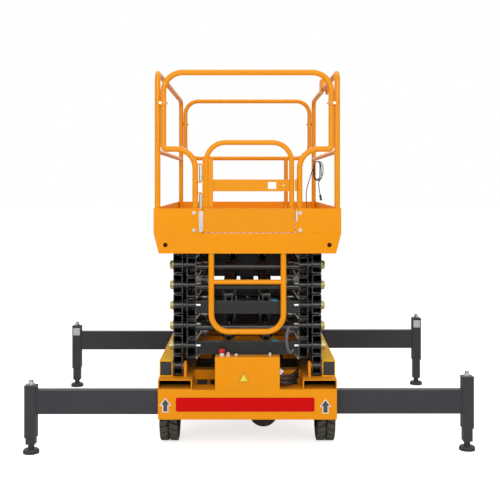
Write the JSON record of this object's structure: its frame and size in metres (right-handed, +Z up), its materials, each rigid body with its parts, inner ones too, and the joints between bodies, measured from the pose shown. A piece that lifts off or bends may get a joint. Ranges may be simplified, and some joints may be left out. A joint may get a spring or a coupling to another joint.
{
  "type": "towed scissor lift",
  "caption": "Towed scissor lift with stacked scissor arms, a railed platform with gate and ladder, steered axle, drawbar and sliding outriggers with jack legs.",
  "frame": {"origin": "middle of the whole machine, on the ground", "axes": "+X to the right seen from the gate end, +Y from the gate end to the drawbar end, +Z up"},
  "size_m": [2.952, 2.113, 2.459],
  "materials": {
    "black_paint": "semi-gloss paint",
    "chrome_rod": "hard chrome",
    "cord_rubber": "matt rubber",
    "dark_paint": "semi-gloss paint",
    "grey_metal": "grey paint",
    "orange_paint": "gloss paint",
    "tyre": "solid rubber"
  },
  "bodies": {
    "chassis": {"fork_pockets": "orange_paint", "side_beams": "orange_paint", "cross_members": "orange_paint", "near_sleeve": "orange_paint", "far_sleeve": "orange_paint", "front_panel": "orange_paint", "control_box": "orange_paint", "power_pack": "black_paint", "near_axle": "black_paint", "far_axle": "black_paint"},
    "outer_arms_1": {"outer_arms_1": "black_paint"},
    "inner_frame_1": {"inner_frame_1": "black_paint"},
    "outer_arms_2": {"outer_arms_2": "black_paint"},
    "inner_frame_2": {"inner_frame_2": "black_paint"},
    "outer_arms_3": {"outer_arms_3": "black_paint"},
    "inner_frame_3": {"inner_frame_3": "black_paint"},
    "outer_arms_4": {"outer_arms_4": "black_paint"},
    "inner_frame_4": {"inner_frame_4": "black_paint"},
    "outer_arms_5": {"outer_arms_5": "black_paint"},
    "inner_frame_5": {"inner_frame_5": "black_paint"},
    "outer_arms_6": {"outer_arms_6": "black_paint"},
    "inner_frame_6": {"inner_frame_6": "black_paint"},
    "platform": {"platform_tray": "orange_paint", "toe_boards": "orange_paint", "left_side_rail": "orange_paint", "right_side_rail": "orange_paint", "near_rail": "orange_paint", "far_rail": "orange_paint", "ladder": "orange_paint", "rail_box": "orange_paint", "cord_lead": "cord_rubber", "cord_hank": "cord_rubber", "cord_tail": "cord_rubber", "cord_plug": "cord_rubber"},
    "gate": {"gate": "orange_paint"},
    "lower_barrels": {"lower_cylinder_barrels": "black_paint"},
    "lower_rods": {"lower_cylinder_rods": "chrome_rod"},
    "upper_barrels": {"upper_cylinder_barrels": "black_paint"},
    "upper_rods": {"upper_cylinder_rods": "chrome_rod"},
    "near_left_wheel": {"near_left_tyre": "tyre", "near_left_rim": "grey_metal"},
    "near_right_wheel": {"near_right_tyre": "tyre", "near_right_rim": "grey_metal"},
    "tow_yoke": {"tow_yoke": "black_paint"},
    "drawbar": {"drawbar": "black_paint"},
    "tie_rod": {"tie_rod": "black_paint"},
    "far_left_knuckle": {"far_left_knuckle": "black_paint"},
    "far_left_wheel": {"far_left_tyre": "tyre", "far_left_rim": "grey_metal"},
    "far_right_knuckle": {"far_right_knuckle": "black_paint"},
    "far_right_wheel": {"far_right_tyre": "tyre", "far_right_rim": "grey_metal"},
    "near_left_beam": {"near_left_beam": "dark_paint"},
    "near_left_leg": {"near_left_leg": "dark_paint"},
    "near_right_beam": {"near_right_beam": "dark_paint"},
    "near_right_leg": {"near_right_leg": "dark_paint"},
    "far_left_beam": {"far_left_beam": "dark_paint"},
    "far_left_leg": {"far_left_leg": "dark_paint"},
    "far_right_beam": {"far_right_beam": "dark_paint"},
    "far_right_leg": {"far_right_leg": "dark_paint"}
  },
  "joints": [
    {"name": "lift", "type": "hinge", "parent": "chassis", "child": "outer_arms_1", "pos_m": [0, -0.92651, 0.535], "axis": [1, 0, 0], "range_deg": [0, 54]},
    {"name": "inner_1_fold", "type": "hinge", "parent": "outer_arms_1", "child": "inner_frame_1", "pos_m": [0, -0.00375, 0.59935], "axis": [1, 0, 0], "range_deg": [-108, 0]},
    {"name": "outer_2_fold", "type": "hinge", "parent": "inner_frame_1", "child": "outer_arms_2", "pos_m": [0, -0.92651, 0.6637], "axis": [1, 0, 0], "range_deg": [0, 108]},
    {"name": "inner_2_fold", "type": "hinge", "parent": "outer_arms_2", "child": "inner_frame_2", "pos_m": [0, -0.00375, 0.72805], "axis": [1, 0, 0], "range_deg": [-108, 0]},
    {"name": "outer_3_fold", "type": "hinge", "parent": "inner_frame_2", "child": "outer_arms_3", "pos_m": [0, -0.92651, 0.7924], "axis": [1, 0, 0], "range_deg": [0, 108]},
    {"name": "inner_3_fold", "type": "hinge", "parent": "outer_arms_3", "child": "inner_frame_3", "pos_m": [0, -0.00375, 0.85675], "axis": [1, 0, 0], "range_deg": [-108, 0]},
    {"name": "outer_4_fold", "type": "hinge", "parent": "inner_frame_3", "child": "outer_arms_4", "pos_m": [0, -0.92651, 0.9211], "axis": [1, 0, 0], "range_deg": [0, 108]},
    {"name": "inner_4_fold", "type": "hinge", "parent": "outer_arms_4", "child": "inner_frame_4", "pos_m": [0, -0.00375, 0.98545], "axis": [1, 0, 0], "range_deg": [-108, 0]},
    {"name": "outer_5_fold", "type": "hinge", "parent": "inner_frame_4", "child": "outer_arms_5", "pos_m": [0, -0.92651, 1.0498], "axis": [1, 0, 0], "range_deg": [0, 108]},
    {"name": "inner_5_fold", "type": "hinge", "parent": "outer_arms_5", "child": "inner_frame_5", "pos_m": [0, -0.00375, 1.11415], "axis": [1, 0, 0], "range_deg": [-108, 0]},
    {"name": "outer_6_fold", "type": "hinge", "parent": "inner_frame_5", "child": "outer_arms_6", "pos_m": [0, -0.92651, 1.1785], "axis": [1, 0, 0], "range_deg": [0, 108]},
    {"name": "inner_6_fold", "type": "hinge", "parent": "outer_arms_6", "child": "inner_frame_6", "pos_m": [0, -0.00375, 1.24285], "axis": [1, 0, 0], "range_deg": [-108, 0]},
    {"name": "platform_level", "type": "hinge", "parent": "inner_frame_6", "child": "platform", "pos_m": [0, -0.92651, 1.3072], "axis": [1, 0, 0], "range_deg": [0, 54]},
    {"name": "gate_swing", "type": "hinge", "parent": "platform", "child": "gate", "pos_m": [-0.291, -1.03321, 1.636], "axis": [0, 0, 1], "range_deg": [0, 90], "stiffness_Nm_per_rad": 8, "springref_deg": -17.19},
    {"name": "lower_cylinder_tilt", "type": "hinge", "parent": "inner_frame_1", "child": "lower_barrels", "pos_m": [0, -0.86234, 0.72138], "axis": [1, 0, 0], "range_deg": [0, 112.2]},
    {"name": "lower_rod_slide", "type": "slide", "parent": "lower_barrels", "child": "lower_rods", "axis": [0, 0.997, 0.0777], "range_m": [0, 0.216]},
    {"name": "upper_cylinder_tilt", "type": "hinge", "parent": "inner_frame_3", "child": "upper_barrels", "pos_m": [0, -0.86234, 0.97878], "axis": [1, 0, 0], "range_deg": [0, 112.2]},
    {"name": "upper_rod_slide", "type": "slide", "parent": "upper_barrels", "child": "upper_rods", "axis": [0, 0.997, 0.0777], "range_m": [0, 0.216]},
    {"name": "near_left_spin", "type": "hinge", "parent": "chassis", "child": "near_left_wheel", "pos_m": [-0.51, -0.70151, 0.19], "axis": [1, 0, 0], "continuous": true},
    {"name": "near_right_spin", "type": "hinge", "parent": "chassis", "child": "near_right_wheel", "pos_m": [0.51, -0.70151, 0.19], "axis": [1, 0, 0], "continuous": true},
    {"name": "steer", "type": "hinge", "parent": "chassis", "child": "tow_yoke", "pos_m": [0, 0.60301, 0.19], "axis": [0, 0, 1], "range_deg": [-20, 20]},
    {"name": "drawbar_fold", "type": "hinge", "parent": "tow_yoke", "child": "drawbar", "pos_m": [0, 1.03851, 0.2], "axis": [-1, 0, 0], "range_deg": [0, 90.8]},
    {"name": "tie_rod_swing", "type": "hinge", "parent": "tow_yoke", "child": "tie_rod", "pos_m": [0, 0.47301, 0.115], "axis": [0, 0, 1], "range_deg": [-20, 20]},
    {"name": "left_knuckle_steer", "type": "hinge", "parent": "chassis", "child": "far_left_knuckle", "pos_m": [-0.4, 0.60301, 0.19], "axis": [0, 0, 1], "range_deg": [-20, 20]},
    {"name": "far_left_spin", "type": "hinge", "parent": "far_left_knuckle", "child": "far_left_wheel", "pos_m": [-0.51, 0.60301, 0.19], "axis": [1, 0, 0], "continuous": true},
    {"name": "right_knuckle_steer", "type": "hinge", "parent": "chassis", "child": "far_right_knuckle", "pos_m": [0.4, 0.60301, 0.19], "axis": [0, 0, 1], "range_deg": [-20, 20]},
    {"name": "far_right_spin", "type": "hinge", "parent": "far_right_knuckle", "child": "far_right_wheel", "pos_m": [0.51, 0.60301, 0.19], "axis": [1, 0, 0], "continuous": true},
    {"name": "near_left_beam_slide", "type": "slide", "parent": "chassis", "child": "near_left_beam", "axis": [1, 0, 0], "range_m": [0, 0.7]},
    {"name": "near_left_jack", "type": "slide", "parent": "near_left_beam", "child": "near_left_leg", "axis": [0, 0, 1], "range_m": [0, 0.068]},
    {"name": "near_right_beam_slide", "type": "slide", "parent": "chassis", "child": "near_right_beam", "axis": [-1, 0, 0], "range_m": [0, 0.7]},
    {"name": "near_right_jack", "type": "slide", "parent": "near_right_beam", "child": "near_right_leg", "axis": [0, 0, 1], "range_m": [0, 0.11]},
    {"name": "far_left_beam_slide", "type": "slide", "parent": "chassis", "child": "far_left_beam", "axis": [1, 0, 0], "range_m": [0, 0.7]},
    {"name": "far_left_jack", "type": "slide", "parent": "far_left_beam", "child": "far_left_leg", "axis": [0, 0, 1], "range_m": [0, 0.125]},
    {"name": "far_right_beam_slide", "type": "slide", "parent": "chassis", "child": "far_right_beam", "axis": [-1, 0, 0], "range_m": [0, 0.7]},
    {"name": "far_right_jack", "type": "slide", "parent": "far_right_beam", "child": "far_right_leg", "axis": [0, 0, 1], "range_m": [0, 0.18]}
  ],
  "couplings": [
    {"joint": "inner_1_fold", "follows": "lift", "ratio": -2},
    {"joint": "outer_2_fold", "follows": "lift", "ratio": 2},
    {"joint": "inner_2_fold", "follows": "lift", "ratio": -2},
    {"joint": "outer_3_fold", "follows": "lift", "ratio": 2},
    {"joint": "inner_3_fold", "follows": "lift", "ratio": -2},
    {"joint": "outer_4_fold", "follows": "lift", "ratio": 2},
    {"joint": "inner_4_fold", "follows": "lift", "ratio": -2},
    {"joint": "outer_5_fold", "follows": "lift", "ratio": 2},
    {"joint": "inner_5_fold", "follows": "lift", "ratio": -2},
    {"joint": "outer_6_fold", "follows": "lift", "ratio": 2},
    {"joint": "inner_6_fold", "follows": "lift", "ratio": -2},
    {"joint": "platform_level", "follows": "lift", "ratio": 1},
    {"joint": "lower_cylinder_tilt", "follows": "lift", "ratio": 2.0678},
    {"joint": "lower_rod_slide", "follows": "lift", "m_per_rad": 0.2269},
    {"joint": "upper_cylinder_tilt", "follows": "lift", "ratio": 2.0678},
    {"joint": "upper_rod_slide", "follows": "lift", "m_per_rad": 0.2269},
    {"joint": "tie_rod_swing", "follows": "steer", "ratio": -1},
    {"joint": "left_knuckle_steer", "follows": "steer", "ratio": 1},
    {"joint": "right_knuckle_steer", "follows": "steer", "ratio": 1}
  ]
}
